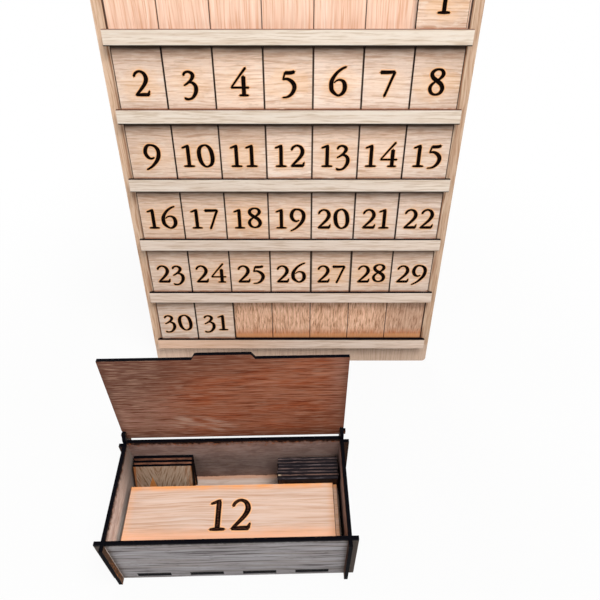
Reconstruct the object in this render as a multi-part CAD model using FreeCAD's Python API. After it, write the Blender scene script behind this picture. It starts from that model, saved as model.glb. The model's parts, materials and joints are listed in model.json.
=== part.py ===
# Perpetual desk calendar: a leaning board with eight rails of loose number tiles,
# and a small hinged-lid box in front of it that holds the spare plates and tiles.
#
# Axes: +X to the viewer's right, +Y to the back, +Z up, millimetres.
# The board is drawn upright with its front face at y = 0 and then leaned back.
# The box is drawn about its own centre and then turned a little on the desk.
# The finished set is moved so that the origin is the middle of its footprint.
import FreeCAD, Part
import math
import os

V = FreeCAD.Vector

# ---- sheet stock ----
BOARD_T = 6.0          # plywood of the board and its strut
PLY_T = 3.0            # plywood of the box, lid, tiles, plates and rail lips
SPACER_T = 4.0         # strip behind each lip; sets the depth of the channel
GLUE_FIT = 0.05        # play of a laser-cut joint, each side

# ---- calendar grid ----
COLUMNS = 7
COLUMN_PITCH = 40.2
TILE_GAP = 0.8         # between neighbouring tiles
TILE_BITE = 0.5        # how far a tile's top hides behind the lip above it
TILE_BACK_GAP = 0.05   # tile's back to the board it rests against
RAIL_PITCH = 61.0
RAIL_COUNT = 8
LIP_H = 12.0
LIP_OVER = 2.5         # lip above the spacer's top: holds the tile's foot
LIP_UNDER = 3.5        # lip below the spacer: room to lift the tile below it
RAIL_OVERHANG = 3.3    # rail beyond the outer columns, each side
SIDE_MARGIN = 6.0      # bare board beside the rails
END_MARGIN = 23.3      # bare board under the lowest lip and over the top one
BOARD_CORNER_R = 4.0
LEAN = 10.2            # degrees from upright

# ---- number tiles: (number, rail row counted from the bottom, column) ----
FIRST_COLUMN_OF_DAY_1 = 7
DAYS = 31
DAY_1_SHIFT = -2.0     # the lone tile of the first week stands a little to the left

# ---- month plates ----
PLATE_PLAY = 9.8       # box's inner width over the plate's length
PLATE_SHIFT = -1.8     # pile's centre from the box's centre, across
PLATE_FRONT_GAP = 4.6  # pile's front edge to the front panel
SECOND_PLATE_SLIP = 3.5
LOWER_PLATES = 9
PLATE_SCATTER = (0.7, -0.9, 1.3, -0.4, 1.0, -1.2, 0.5, -0.6, 0.3)

# ---- box ----
BOX_W = 189.0          # over the side panels
BOX_D = 89.0           # over the front and back panels
BOX_H = 68.4
EAR = 5.2              # panels run past each other by this much
BACK_EAR_DROP = 5.6    # back panel's ears stop below its top
FLOOR_Z = 5.0          # underside of the floor panel
TAB_L = 26.2
TAB_PITCH = 43.3
FRONT_TABS = 4
SIDE_TABS = 2
BOX_X = -46.6          # box centre from the board's centre line
BOX_TO_BOARD = 184.2   # box centre to the foot of the board's front face
BOX_TURN = 1.29        # degrees, anticlockwise from above

# ---- lid and its pivots ----
HINGE_BACK = 3.5       # pivot line behind the back panel
LID_REST_GAP = 0.3     # closed lid over the panels' top edges
STUB_H = 4.4           # pivot stub, measured along the lid
STUB_OUT = 2.0         # stub beyond the outer face of its ear
PIVOT_PLAY = 0.35
SHOULDER = 7.8         # pivot line to the full-width part of the lid
LOBE_R = 6.8
LOBE_BACK_R = 6.8
NECK_PLAY = 0.4        # narrow part of the lid inside the ears, each side
LID_OPEN = 2.2         # degrees past upright, against the horns
HORN_GAP = 0.1
HORN_TOP = 12.0        # horn's reach up the open lid
HORN_BACK_DROP = 1.0   # horn's back corner below its tip
HEEL_NOSE = 3.0        # lobe's heel turns in this far below the panel's top
HEEL_SLOPE_END = 14.0  # and meets the back edge this far below it
HEEL_FOOT = 16.0
LID_LIP_W = 47.6       # finger lip at its root
LID_LIP_TIP_W = 42.0
LID_LIP_H = 4.9
LID_LIP_R = 2.0

# ---- strut and its hinge ----
STRUT_HINGE_UP = 360.0 # pivot height along the board
STRUT_BACK = 8.0       # degrees from upright when it stands
STRUT_TOP_W = 52.0
STRUT_FOOT_W = 92.0
STRUT_STOP_UP = 5.0    # strut's top end above the pivot line
STRUT_CORNER_R = 5.0
STOP_GAP = 0.1
CLEAT_W = 70.0
CLEAT_H = 16.0
CLEAT_T = 9.0
CLEAT_CHAMFER = 2.0
LEAF_T = 1.0
LEAF_H = 16.0
LEAF_CORNER_R = 2.0
BARREL_R = 2.0
PIN_R = 1.0
PIN_PLAY = 0.1
KNUCKLES = 5
KNUCKLE_L = 8.0
KNUCKLE_GAP = 0.3
SCREW_R = 1.1
SCREW_HEAD_R = 2.1
SCREW_INTO = 3.6       # shank in the wood
SCREW_SPAN = 14.0      # screws either side of the leaf's middle
SCREW_UP = 9.5         # pivot line to the screw row

# ---- spare tiles standing in the box ----
SPARE_LEFT_GAP = 1.8   # left stack to the left panel
SPARE_FAN = (0.35, 0.5, 0.15)  # each leaning tile's part of the free depth under the fan
SPARE_RIGHT_GAP = 2.2  # right stack to the right panel
SPARE_BACK_ROOM = 3.0  # least room for a fingertip behind the right stack
SPARE_PILE_GAP = 0.3   # both stacks to the pile of plates
SPARE_SCATTER = (0.0, 0.5, -0.4, 0.3, 0.6, -0.3, 0.2)

# ---- sizes that follow from the ones above ----
TILE_W = COLUMN_PITCH - TILE_GAP
TILE_H = RAIL_PITCH - LIP_H + LIP_OVER + TILE_BITE
RAIL_W = COLUMNS * COLUMN_PITCH + 2 * RAIL_OVERHANG
BOARD_W = RAIL_W + 2 * SIDE_MARGIN
BOARD_H = 2 * END_MARGIN + LIP_H + (RAIL_COUNT - 1) * RAIL_PITCH
INNER_W = BOX_W - 2 * PLY_T
INNER_D = BOX_D - 2 * PLY_T
PLATE_W = INNER_W - PLATE_PLAY
PILE_FRONT = -INNER_D / 2 + PLATE_FRONT_GAP
PILE_BACK = PILE_FRONT + TILE_H
FLOOR_TOP = FLOOR_Z + PLY_T
HINGE_Y = BOX_D / 2 + HINGE_BACK
HINGE_Z = BOX_H + LID_REST_GAP + PLY_T / 2
LID_TAIL = STUB_H / 2
LID_REACH = HINGE_Y + BOX_D / 2 + EAR
PIVOT_R = math.hypot(STUB_H / 2, PLY_T / 2) + PIVOT_PLAY
AXIS_Y = BOARD_T + BARREL_R
BOARD_RISE = BOARD_T * math.sin(math.radians(LEAN))


def block(x0, x1, y0, y1, z0, z1):
    return Part.makeBox(x1 - x0, y1 - y0, z1 - z0, V(x0, y0, z0))


def outline(points, direction):
    """Closed polygon pushed along a direction into a solid."""
    wire = Part.makePolygon(points + [points[0]])
    return Part.Face(wire).extrude(direction)


def rounded(shape, radius, along):
    """Round the edges of a sheet that run through its thickness."""
    picked = []
    for edge in shape.Edges:
        step = edge.Vertexes[-1].Point - edge.Vertexes[0].Point
        if step.Length > 0 and abs(abs(step.normalize().dot(along)) - 1) < 1e-6:
            picked.append(edge)
    return shape.makeFillet(radius, picked)


# ---------------- board ----------------

def lip_top(rail):
    """Height of a rail's top edge along the board; rail 0 is the lowest."""
    return END_MARGIN + LIP_H + rail * RAIL_PITCH


def backboard(holes):
    sheet = block(-BOARD_W / 2, BOARD_W / 2, 0, BOARD_T, 0, BOARD_H)
    sheet = rounded(sheet, BOARD_CORNER_R, V(0, 1, 0))
    return sheet.cut(holes)


def rail_lip(rail):
    top = lip_top(rail)
    return block(-RAIL_W / 2, RAIL_W / 2, -SPACER_T - PLY_T, -SPACER_T, top - LIP_H, top)


def rail_spacers():
    strips = []
    for rail in range(RAIL_COUNT):
        top = lip_top(rail)
        strips.append(block(-RAIL_W / 2, RAIL_W / 2, -SPACER_T, 0,
                            top - LIP_H + LIP_UNDER, top - LIP_OVER))
    return Part.makeCompound(strips)


def on_rail(middle, width, foot):
    front = -PLY_T - TILE_BACK_GAP
    return block(middle - width / 2, middle + width / 2, front, -TILE_BACK_GAP, foot, foot + TILE_H)


def number_tile(day):
    """Tile of one day, standing in its column on its rail with its back on the board."""
    place = FIRST_COLUMN_OF_DAY_1 - 1 + day - 1
    column = place % COLUMNS
    rail = RAIL_COUNT - 3 - place // COLUMNS
    middle = (column - (COLUMNS - 1) / 2) * COLUMN_PITCH
    if day == 1:
        middle += DAY_1_SHIFT
    foot = lip_top(rail) - LIP_OVER
    return on_rail(middle, TILE_W, foot)


def board_plate():
    """Plate of the month, in the middle of the uppermost channel."""
    foot = lip_top(RAIL_COUNT - 2) - LIP_OVER
    return on_rail(0, PLATE_W, foot)


# ---------------- strut ----------------

def about_strut_axis(shape, degrees):
    turned = shape.copy()
    turned.rotate(V(0, AXIS_Y, STRUT_HINGE_UP), V(1, 0, 0), degrees)
    return turned


def strut_length():
    """Pivot to foot, so that the foot's front edge reaches the desk."""
    lean = math.radians(LEAN)
    back = math.radians(STRUT_BACK)
    drop = BOARD_RISE + STRUT_HINGE_UP * math.cos(lean) - AXIS_Y * math.sin(lean)
    return (drop + BARREL_R * math.sin(back)) / math.cos(back)


def strut(holes):
    """Drawn flat on the closed hinge, swung out, then squared off under the cleat."""
    length = strut_length()
    foot_z = STRUT_HINGE_UP - length
    top_z = STRUT_HINGE_UP + STRUT_STOP_UP + BOARD_T
    front = BOARD_T + 2 * BARREL_R
    sheet = outline([V(-STRUT_FOOT_W / 2, front, foot_z), V(STRUT_FOOT_W / 2, front, foot_z),
                     V(STRUT_TOP_W / 2, front, top_z), V(-STRUT_TOP_W / 2, front, top_z)],
                    V(0, BOARD_T, 0))
    feet = [e for e in sheet.Edges
            if abs(e.Vertexes[0].Point.z - foot_z) < 0.01
            and abs(e.Vertexes[-1].Point.z - foot_z) < 0.01
            and abs(e.Vertexes[0].Point.y - e.Vertexes[-1].Point.y) > 1]
    sheet = sheet.makeFillet(STRUT_CORNER_R, feet)
    swung = about_strut_axis(sheet.cut(holes), LEAN + STRUT_BACK)
    over = STRUT_HINGE_UP + STRUT_STOP_UP
    reach = AXIS_Y + STRUT_STOP_UP + 2 * BOARD_T
    return swung.cut(block(-STRUT_TOP_W, STRUT_TOP_W, -reach, reach, over, over + CLEAT_H))


def cleat():
    foot = STRUT_HINGE_UP + STRUT_STOP_UP + STOP_GAP
    body = block(-CLEAT_W / 2, CLEAT_W / 2, BOARD_T, BOARD_T + CLEAT_T, foot, foot + CLEAT_H)
    upper = [e for e in body.Edges
             if all(v.Point.y > BOARD_T + CLEAT_T - 0.01 for v in e.Vertexes)
             and all(v.Point.z > foot + CLEAT_H - 0.01 for v in e.Vertexes)]
    return body.makeChamfer(CLEAT_CHAMFER, upper)


def knuckle(index, radius, grow=0.0):
    span = KNUCKLES * KNUCKLE_L
    start = -span / 2 + index * KNUCKLE_L + KNUCKLE_GAP / 2 - grow
    length = KNUCKLE_L - KNUCKLE_GAP + 2 * grow
    return Part.makeCylinder(radius, length, V(start, AXIS_Y, STRUT_HINGE_UP), V(1, 0, 0))


def hinge_leaf(own, y0, screws):
    """Leaf plate with its own knuckles, cleared round the other leaf's knuckles."""
    half = KNUCKLES * KNUCKLE_L / 2 - KNUCKLE_GAP / 2
    body = block(-half, half, y0, y0 + LEAF_T, STRUT_HINGE_UP - LEAF_H, STRUT_HINGE_UP)
    body = rounded_ends(body, y0)
    for index in range(KNUCKLES):
        if index not in own:
            body = body.cut(knuckle(index, BARREL_R + KNUCKLE_GAP, KNUCKLE_GAP))
    for index in own:
        body = body.fuse(knuckle(index, BARREL_R))
    bore = Part.makeCylinder(PIN_R + PIN_PLAY, 2 * half + 2,
                             V(-half - 1, AXIS_Y, STRUT_HINGE_UP), V(1, 0, 0))
    return body.cut(bore).cut(screws).removeSplitter()


def rounded_ends(body, y0):
    low = STRUT_HINGE_UP - LEAF_H
    corners = [e for e in body.Edges
               if all(abs(v.Point.z - low) < 0.01 for v in e.Vertexes)
               and abs(e.Vertexes[0].Point.y - e.Vertexes[-1].Point.y) > LEAF_T / 2]
    return body.makeFillet(LEAF_CORNER_R, corners)


def hinge_pin():
    half = KNUCKLES * KNUCKLE_L / 2 - KNUCKLE_GAP / 2
    return Part.makeCylinder(PIN_R, 2 * half, V(-half, AXIS_Y, STRUT_HINGE_UP), V(1, 0, 0))


def leaf_screws(outer_y, inward):
    """Three countersunk screws, heads flush with the leaf's open side."""
    screws = []
    for step in (-1, 0, 1):
        seat = V(step * SCREW_SPAN, outer_y, STRUT_HINGE_UP - SCREW_UP)
        way = V(0, inward, 0)
        head = Part.makeCone(SCREW_HEAD_R, SCREW_R, LEAF_T, seat, way)
        shank = Part.makeCylinder(SCREW_R, SCREW_INTO, seat + way * LEAF_T, way)
        screws.append(head.fuse(shank).removeSplitter())
    return screws


# ---------------- box ----------------

def tab_centres(count):
    return [(k - (count - 1) / 2) * TAB_PITCH for k in range(count)]


def end_panel(y0, slot_from_below, ear_top):
    """Front or back panel: ears past the sides, tab holes, half-height slots."""
    half = BOX_W / 2
    body = block(-half, half, y0, y0 + PLY_T, 0, BOX_H)
    body = body.fuse(block(-half - EAR, half + EAR, y0, y0 + PLY_T, 0, ear_top)).removeSplitter()
    low, high = (-1, BOX_H / 2 + GLUE_FIT) if slot_from_below else (BOX_H / 2 - GLUE_FIT, BOX_H + 1)
    for side in (-1, 1):
        inner = side * (half - PLY_T)
        outer = side * half
        x0, x1 = min(inner, outer), max(inner, outer)
        body = body.cut(block(x0 - GLUE_FIT, x1 + GLUE_FIT, y0 - 1, y0 + PLY_T + 1, low, high))
    for x in tab_centres(FRONT_TABS):
        body = body.cut(block(x - TAB_L / 2 - GLUE_FIT, x + TAB_L / 2 + GLUE_FIT,
                              y0 - 1, y0 + PLY_T + 1, FLOOR_Z - GLUE_FIT, FLOOR_TOP + GLUE_FIT))
    return body


def on_lid_line(side, along):
    """Point beside the open lid's middle plane: side to the back, along up from the pivot."""
    a = math.radians(LID_OPEN)
    return V(0, HINGE_Y + side * math.cos(a) + along * math.sin(a),
             HINGE_Z - side * math.sin(a) + along * math.cos(a))


def side_panel(side):
    """Side with its hinge lobe and the horn that stops the open lid."""
    x0 = BOX_W / 2 - PLY_T if side > 0 else -BOX_W / 2
    reach = BOX_D / 2 + EAR
    through = V(PLY_T, 0, 0)
    back = HINGE_Y + LOBE_BACK_R
    body = block(x0, x0 + PLY_T, -reach, reach, 0, BOX_H)
    lobe = Part.makeCylinder(LOBE_R, PLY_T, V(x0, HINGE_Y, HINGE_Z), V(1, 0, 0))
    heel = outline([V(x0, HINGE_Y - LOBE_R, HINGE_Z), V(x0, back, HINGE_Z),
                    V(x0, back, BOX_H - HEEL_NOSE), V(x0, reach, BOX_H - HEEL_SLOPE_END),
                    V(x0, reach, BOX_H - HEEL_FOOT), V(x0, HINGE_Y - LOBE_R, BOX_H - HEEL_FOOT)],
                   through)
    face = PLY_T / 2 + HORN_GAP
    tip = on_lid_line(face, HORN_TOP)
    root = on_lid_line(face, LOBE_R * 0.8)
    horn = outline([V(x0, root.y, root.z), V(x0, tip.y, tip.z), V(x0, back, tip.z - HORN_BACK_DROP),
                    V(x0, back, HINGE_Z), V(x0, HINGE_Y, HINGE_Z)], through)
    body = body.fuse([lobe, heel, horn]).removeSplitter()
    body = body.cut(Part.makeCylinder(PIVOT_R, PLY_T + 2, V(x0 - 1, HINGE_Y, HINGE_Z), V(1, 0, 0)))
    body = body.cut(block(x0 - 1, x0 + PLY_T + 1, -BOX_D / 2 - GLUE_FIT,
                          -BOX_D / 2 + PLY_T + GLUE_FIT, BOX_H / 2 - GLUE_FIT, BOX_H + 1))
    body = body.cut(block(x0 - 1, x0 + PLY_T + 1, BOX_D / 2 - PLY_T - GLUE_FIT,
                          BOX_D / 2 + GLUE_FIT, -1, BOX_H / 2 + GLUE_FIT))
    for y in tab_centres(SIDE_TABS):
        body = body.cut(block(x0 - 1, x0 + PLY_T + 1, y - TAB_L / 2 - GLUE_FIT,
                              y + TAB_L / 2 + GLUE_FIT, FLOOR_Z - GLUE_FIT, FLOOR_TOP + GLUE_FIT))
    return body


def floor_panel():
    w, d = INNER_W / 2 - GLUE_FIT, INNER_D / 2 - GLUE_FIT
    body = block(-w, w, -d, d, FLOOR_Z, FLOOR_TOP)
    for x in tab_centres(FRONT_TABS):
        body = body.fuse(block(x - TAB_L / 2, x + TAB_L / 2, -BOX_D / 2, BOX_D / 2,
                               FLOOR_Z, FLOOR_TOP))
    for y in tab_centres(SIDE_TABS):
        body = body.fuse(block(-BOX_W / 2, BOX_W / 2, y - TAB_L / 2, y + TAB_L / 2,
                               FLOOR_Z, FLOOR_TOP))
    return body.removeSplitter()


def lid():
    """Drawn upright about its pivot line: tail, stubs, shoulders, finger lip."""
    neck = INNER_W / 2 - NECK_PLAY
    wide = BOX_W / 2
    stub = wide + STUB_OUT
    body = outline([V(-neck, -PLY_T / 2, -LID_TAIL), V(-stub, -PLY_T / 2, -LID_TAIL),
                    V(-stub, -PLY_T / 2, LID_TAIL), V(-neck, -PLY_T / 2, LID_TAIL),
                    V(-neck, -PLY_T / 2, SHOULDER), V(-wide, -PLY_T / 2, SHOULDER),
                    V(-wide, -PLY_T / 2, LID_REACH), V(wide, -PLY_T / 2, LID_REACH),
                    V(wide, -PLY_T / 2, SHOULDER), V(neck, -PLY_T / 2, SHOULDER),
                    V(neck, -PLY_T / 2, LID_TAIL), V(stub, -PLY_T / 2, LID_TAIL),
                    V(stub, -PLY_T / 2, -LID_TAIL), V(neck, -PLY_T / 2, -LID_TAIL)],
                   V(0, PLY_T, 0))
    lip = outline([V(-LID_LIP_W / 2, -PLY_T / 2, LID_REACH), V(LID_LIP_W / 2, -PLY_T / 2, LID_REACH),
                   V(LID_LIP_TIP_W / 2, -PLY_T / 2, LID_REACH + LID_LIP_H),
                   V(-LID_LIP_TIP_W / 2, -PLY_T / 2, LID_REACH + LID_LIP_H)], V(0, PLY_T, 0))
    tips = [e for e in lip.Edges
            if all(v.Point.z > LID_REACH + LID_LIP_H - 0.01 for v in e.Vertexes)
            and abs(e.Vertexes[0].Point.y - e.Vertexes[-1].Point.y) > 1]
    lip = lip.makeFillet(LID_LIP_R, tips)
    body = body.fuse(lip).removeSplitter()
    body.rotate(V(0, 0, 0), V(1, 0, 0), -LID_OPEN)
    body.translate(V(0, HINGE_Y, HINGE_Z))
    return body


# ---------------- what the box holds ----------------

def pile_plate(level, slip):
    """One month plate lying flat in the pile, counted up from the floor panel."""
    z0 = FLOOR_TOP + level * PLY_T
    middle = PLATE_SHIFT + slip
    return block(middle - PLATE_W / 2, middle + PLATE_W / 2, PILE_FRONT, PILE_BACK, z0, z0 + PLY_T)


def lower_plates():
    return Part.makeCompound([pile_plate(k, PLATE_SCATTER[k % len(PLATE_SCATTER)])
                              for k in range(LOWER_PLATES)])


def leaning_tile(x0, foot_y, lean):
    """Spare tile on its long edge; its back lower edge is its foot."""
    tile = block(x0, x0 + TILE_H, -PLY_T, 0, 0, TILE_W)
    tile.rotate(V(0, 0, 0), V(1, 0, 0), -math.degrees(lean))
    tile.translate(V(0, foot_y, FLOOR_TOP))
    return tile


def left_spares():
    """Tiles fanned between the pile and the back panel, each leaning on the one behind."""
    x0 = -INNER_W / 2 + SPARE_LEFT_GAP
    lean = 0.0
    surface = V(0, INNER_D / 2 - GLUE_FIT, FLOOR_TOP)
    free = surface.y - PILE_BACK - SPARE_PILE_GAP - len(SPARE_FAN) * PLY_T
    tiles = []
    for share in SPARE_FAN:
        side = V(0, -math.cos(lean), math.sin(lean))
        foot_y = surface.y - share * free
        offset = V(0, foot_y, FLOOR_TOP).sub(surface).dot(side)
        lean += math.asin((offset - GLUE_FIT) / TILE_W)
        tiles.append(leaning_tile(x0, foot_y, lean))
        surface = V(0, foot_y - PLY_T * math.cos(lean), FLOOR_TOP + PLY_T * math.sin(lean))
    return Part.makeCompound(tiles)


def right_spares():
    """Tiles standing upright on edge behind the pile, as many as the box has room for."""
    front = PILE_BACK + SPARE_PILE_GAP
    count = int((INNER_D / 2 - SPARE_BACK_ROOM - front) / PLY_T)
    tiles = []
    for k in range(count):
        x0 = INNER_W / 2 - SPARE_RIGHT_GAP - TILE_H + SPARE_SCATTER[k % len(SPARE_SCATTER)]
        y0 = front + k * PLY_T
        tiles.append(block(x0, x0 + TILE_H, y0, y0 + PLY_T, FLOOR_TOP, FLOOR_TOP + TILE_W))
    return Part.makeCompound(tiles)


# ---------------- the whole set ----------------

def board_group():
    fixed_screws = leaf_screws(BOARD_T + LEAF_T, -1)
    moving_face = BOARD_T + 2 * BARREL_R - LEAF_T
    moving_screws = leaf_screws(moving_face, 1)
    opened = LEAN + STRUT_BACK
    group = {"backboard": backboard(fixed_screws), "rail_spacers": rail_spacers()}
    for rail in range(RAIL_COUNT):
        group["rail_lip_%d" % (rail + 1)] = rail_lip(rail)
    for day in range(1, DAYS + 1):
        group["tile_%02d" % day] = number_tile(day)
    group["month_plate_shown"] = board_plate()
    group["strut_cleat"] = cleat()
    group["hinge_leaf_fixed"] = hinge_leaf((0, 2, 4), BOARD_T, fixed_screws)
    group["hinge_pin"] = hinge_pin()
    group["hinge_screws_fixed"] = Part.makeCompound(fixed_screws)
    group["strut"] = strut(moving_screws)
    group["hinge_leaf_moving"] = about_strut_axis(hinge_leaf((1, 3), moving_face, moving_screws), opened)
    group["hinge_screws_moving"] = about_strut_axis(Part.makeCompound(moving_screws), opened)
    return group


def box_group():
    group = {"box_front": end_panel(-BOX_D / 2, True, BOX_H),
             "box_back": end_panel(BOX_D / 2 - PLY_T, False, BOX_H - BACK_EAR_DROP),
             "box_side_left": side_panel(-1),
             "box_side_right": side_panel(1),
             "box_floor": floor_panel(),
             "box_lid": lid(),
             "month_plate_top": pile_plate(LOWER_PLATES + 1, 0.0),
             "month_plate_second": pile_plate(LOWER_PLATES, SECOND_PLATE_SLIP),
             "month_plates_lower": lower_plates(),
             "spare_tiles_left": left_spares(),
             "spare_tiles_right": right_spares()}
    return group


def placed(shape, placement):
    moved = shape.copy()
    moved.Placement = placement.multiply(moved.Placement)
    return moved


def main():
    leaned = FreeCAD.Placement(V(0, 0, BOARD_RISE), FreeCAD.Rotation(V(1, 0, 0), -LEAN))
    turned = FreeCAD.Placement(V(BOX_X, -BOX_TO_BOARD, 0), FreeCAD.Rotation(V(0, 0, 1), BOX_TURN))
    shapes = {name: placed(s, leaned) for name, s in board_group().items()}
    shapes.update({name: placed(s, turned) for name, s in box_group().items()})
    whole = Part.makeCompound(list(shapes.values())).BoundBox
    home = V(-(whole.XMin + whole.XMax) / 2, -(whole.YMin + whole.YMax) / 2, -whole.ZMin)
    os.makedirs("parts", exist_ok=True)
    for name, shape in shapes.items():
        shape.translate(home)
        shape.exportStep("parts/" + name + ".step")
    shift = FreeCAD.Placement(home, FreeCAD.Rotation())
    report(shift.multiply(leaned), shift.multiply(turned), whole, home)


def report(board, box, whole, home):
    """Print the places that the joints and rest faces take from the sizes above."""
    def show(label, place, point):
        p = place.multVec(point)
        print("%s %.7f %.7f %.7f" % (label, p.x, p.y, p.z))
    show("strut_axis", board, V(0, AXIS_Y, STRUT_HINGE_UP))
    show("lid_axis", box, V(0, HINGE_Y, HINGE_Z))
    show("board_foot", board, V(0, 0, 0))
    show("board_up", board.Rotation, V(0, 0, 1))
    show("box_across", box.Rotation, V(1, 0, 0))
    show("box_centre", box, V(0, 0, 0))
    show("front_foot", box, V(0, -BOX_D / 2 + PLY_T / 2, 0))
    show("side_foot", box, V(BOX_W / 2 - PLY_T / 2, 0, 0))
    show("floor_top", box, V(0, 0, FLOOR_TOP))
    print("size %.2f %.2f %.2f home %.3f %.3f %.3f" % (whole.XLength, whole.YLength, whole.ZLength,
                                                      home.x, home.y, home.z))


main()
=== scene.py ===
# Looks of a perpetual desk calendar: oak veneer on laser-cut plywood, burnt edges,
# burnt-in figures on the tiles and plates, and a small brass hinge behind the board.
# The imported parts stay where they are; this file finishes them and sets the stage.
import json
import math
from collections import namedtuple

import bpy
from bpy.props import FloatProperty, FloatVectorProperty, PointerProperty
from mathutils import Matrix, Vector


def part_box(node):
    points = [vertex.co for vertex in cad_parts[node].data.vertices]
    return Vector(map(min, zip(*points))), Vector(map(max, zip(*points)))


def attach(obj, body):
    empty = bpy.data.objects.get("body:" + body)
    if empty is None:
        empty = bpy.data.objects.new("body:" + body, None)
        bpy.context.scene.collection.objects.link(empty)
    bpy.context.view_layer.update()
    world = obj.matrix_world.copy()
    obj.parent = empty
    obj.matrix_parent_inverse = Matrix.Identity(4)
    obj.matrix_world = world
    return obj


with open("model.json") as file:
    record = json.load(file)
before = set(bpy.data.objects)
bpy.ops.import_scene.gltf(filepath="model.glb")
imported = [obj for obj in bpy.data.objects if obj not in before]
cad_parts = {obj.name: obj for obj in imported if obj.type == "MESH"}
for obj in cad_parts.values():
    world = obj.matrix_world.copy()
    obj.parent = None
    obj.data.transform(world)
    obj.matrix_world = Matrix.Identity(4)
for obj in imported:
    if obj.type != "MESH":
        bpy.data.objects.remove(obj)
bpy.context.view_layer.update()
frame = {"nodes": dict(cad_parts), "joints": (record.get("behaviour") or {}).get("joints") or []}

bl_info = {
    "name": "Perpetual Desk Calendar Looks",
    "version": (1, 0, 0),
    "blender": (4, 5, 0),
    "location": "3D View > Sidebar > Calendar",
    "description": "Finishes a leaning board calendar and its box in burnt-edge veneer",
    "category": "Object",
}

MM = 0.001

# ---- sizes, in millimetres, and angles ----

DAYS = range(1, 32)
RAILS = range(1, 9)
COLUMNS = 7
COLUMN_PITCH = 40.2
RAIL_PITCH = 61
LIP_H = 12
LOWEST_LIP_TOP = 35.3
BOARD_T = 6
SHEET_T = 3
TILE_W = 39.4
TILE_H = 52
TILE_HIDDEN = 2.5        # foot of a tile behind the lip that it stands on
DAY_1_SHIFT = -2         # of tile 1 from its column's middle
RIM = 0.45               # burn that creeps from a cut edge onto the face
PLATE_W = 173.2
BOX_W = 189
BOX_D = 89
BOX_H = 68.4
LID_OPEN = math.radians(2.2)
STRUT_BACK = math.radians(8)
TAB_L = 26.2             # floor's tabs through the panels
TAB_PITCH = 43.3
TAB_UP = 6.5
SPARE_STRIPS = 4.2       # behind this depth of a stack only strips of its tiles show

# ---- where things are, in metres ----

Plane = namedtuple("Plane", "origin across up out")


def joint(name):
    return next(j for j in frame["joints"] if j["name"] == name)


def middle(node):
    low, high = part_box(node)
    return (low + high) / 2


def board_plane():
    """Face of the board: across to the right, up the board, out to the viewer."""
    across = Vector((1, 0, 0))
    up = Vector(joint("tile_02_lift")["axis"])
    out = across.cross(up)
    foot = Vector((0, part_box("backboard")[0].y, BOARD_T * MM * up.y))
    return Plane(foot, across, up, out)


def box_plane():
    """Upright plane through the box's middle, seen from its front."""
    across = Vector(joint("lid_hinge")["axis"])
    up = Vector((0, 0, 1))
    centre = middle("box_floor")
    return Plane(Vector((centre.x, centre.y, 0)), across, up, across.cross(up))


def lid_plane():
    """Open lid's middle plane, from its pivot line up."""
    box = box_plane()
    up = (box.up * math.cos(LID_OPEN) - box.out * math.sin(LID_OPEN)).normalized()
    return Plane(Vector(joint("lid_hinge")["pos_m"]), box.across, up, box.across.cross(up))


def lying(node):
    """Top face of something that lies flat in the box: up runs to the box's back."""
    box = box_plane()
    top = middle(node)
    top.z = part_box(node)[1].z
    return Plane(top, box.across, -box.out, box.up)


def strut_plane():
    up = Vector((0, -math.sin(STRUT_BACK), math.cos(STRUT_BACK)))
    across = Vector((-1, 0, 0))
    return Plane(middle("strut"), across, up, across.cross(up))


def point(plane, across, up, out=0.0):
    return plane.origin + plane.across * across + plane.up * up + plane.out * out


# ---- sizes and colours that a user would change ----

def srgb(red, green, blue):
    """Screen colour, 0 to 255, as the linear colour that Blender keeps."""
    parts = [c / 255 for c in (red, green, blue)]
    return tuple(c / 12.92 if c <= 0.04045 else ((c + 0.055) / 1.055) ** 2.4 for c in parts)


def colour_choice(name, description, screen):
    return FloatVectorProperty(name=name, description=description, subtype="COLOR",
                               default=srgb(*screen), min=0, max=1)


def length_choice(name, description, size, least, most):
    return FloatProperty(name=name, description=description, unit="LENGTH",
                         default=size * MM, min=least * MM, max=most * MM)


def power_choice(name, description, watts):
    return FloatProperty(name=name, description=description + ", in watts",
                         default=watts, min=0, max=500)


class CalendarColours(bpy.types.PropertyGroup):
    board: colour_choice("Board", "Veneer of the leaning board", (236, 199, 177))
    board_margin: colour_choice("Board margin", "Bare board round the rails", (210, 180, 155))
    rail: colour_choice("Rails", "Pale lips that the tiles stand behind", (219, 207, 194))
    tile: colour_choice("Tiles", "Veneer of the number tiles", (235, 209, 193))
    plate: colour_choice("Plates", "Veneer of the month plates", (206, 179, 164))
    box_outside: colour_choice("Box outside", "Weathered outer veneer", (160, 157, 160))
    box_inside: colour_choice("Box inside", "Smoke-stained inner veneer", (158, 130, 116))
    box_floor: colour_choice("Box floor", "Paler veneer of the floor panel", (180, 163, 154))
    lid: colour_choice("Lid", "Reddish veneer inside the lid", (152, 94, 70))
    spare: colour_choice("Spare tiles", "Face of the tiles kept in the box", (146, 124, 106))
    char: colour_choice("Burnt edge", "Laser-burnt edges and figures", (3, 3, 7))
    brass: colour_choice("Brass", "Hinge leaves behind the board", (196, 160, 92))


class CalendarFigures(bpy.types.PropertyGroup):
    tile_height: length_choice("Tile figure height", "Height of a 1 or a 2 on a tile", 20, 5, 30)
    tile_baseline: length_choice("Tile baseline", "Foot of the tile to the foot of its figures",
                                 12.8, 0, 30)
    plate_height: length_choice("Plate figure height", "Height of a 1 or a 2 on a month plate",
                                26, 5, 40)
    halo: length_choice("Scorch", "Width of the scorch round a burnt figure", 1.6, 0, 4)


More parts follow.
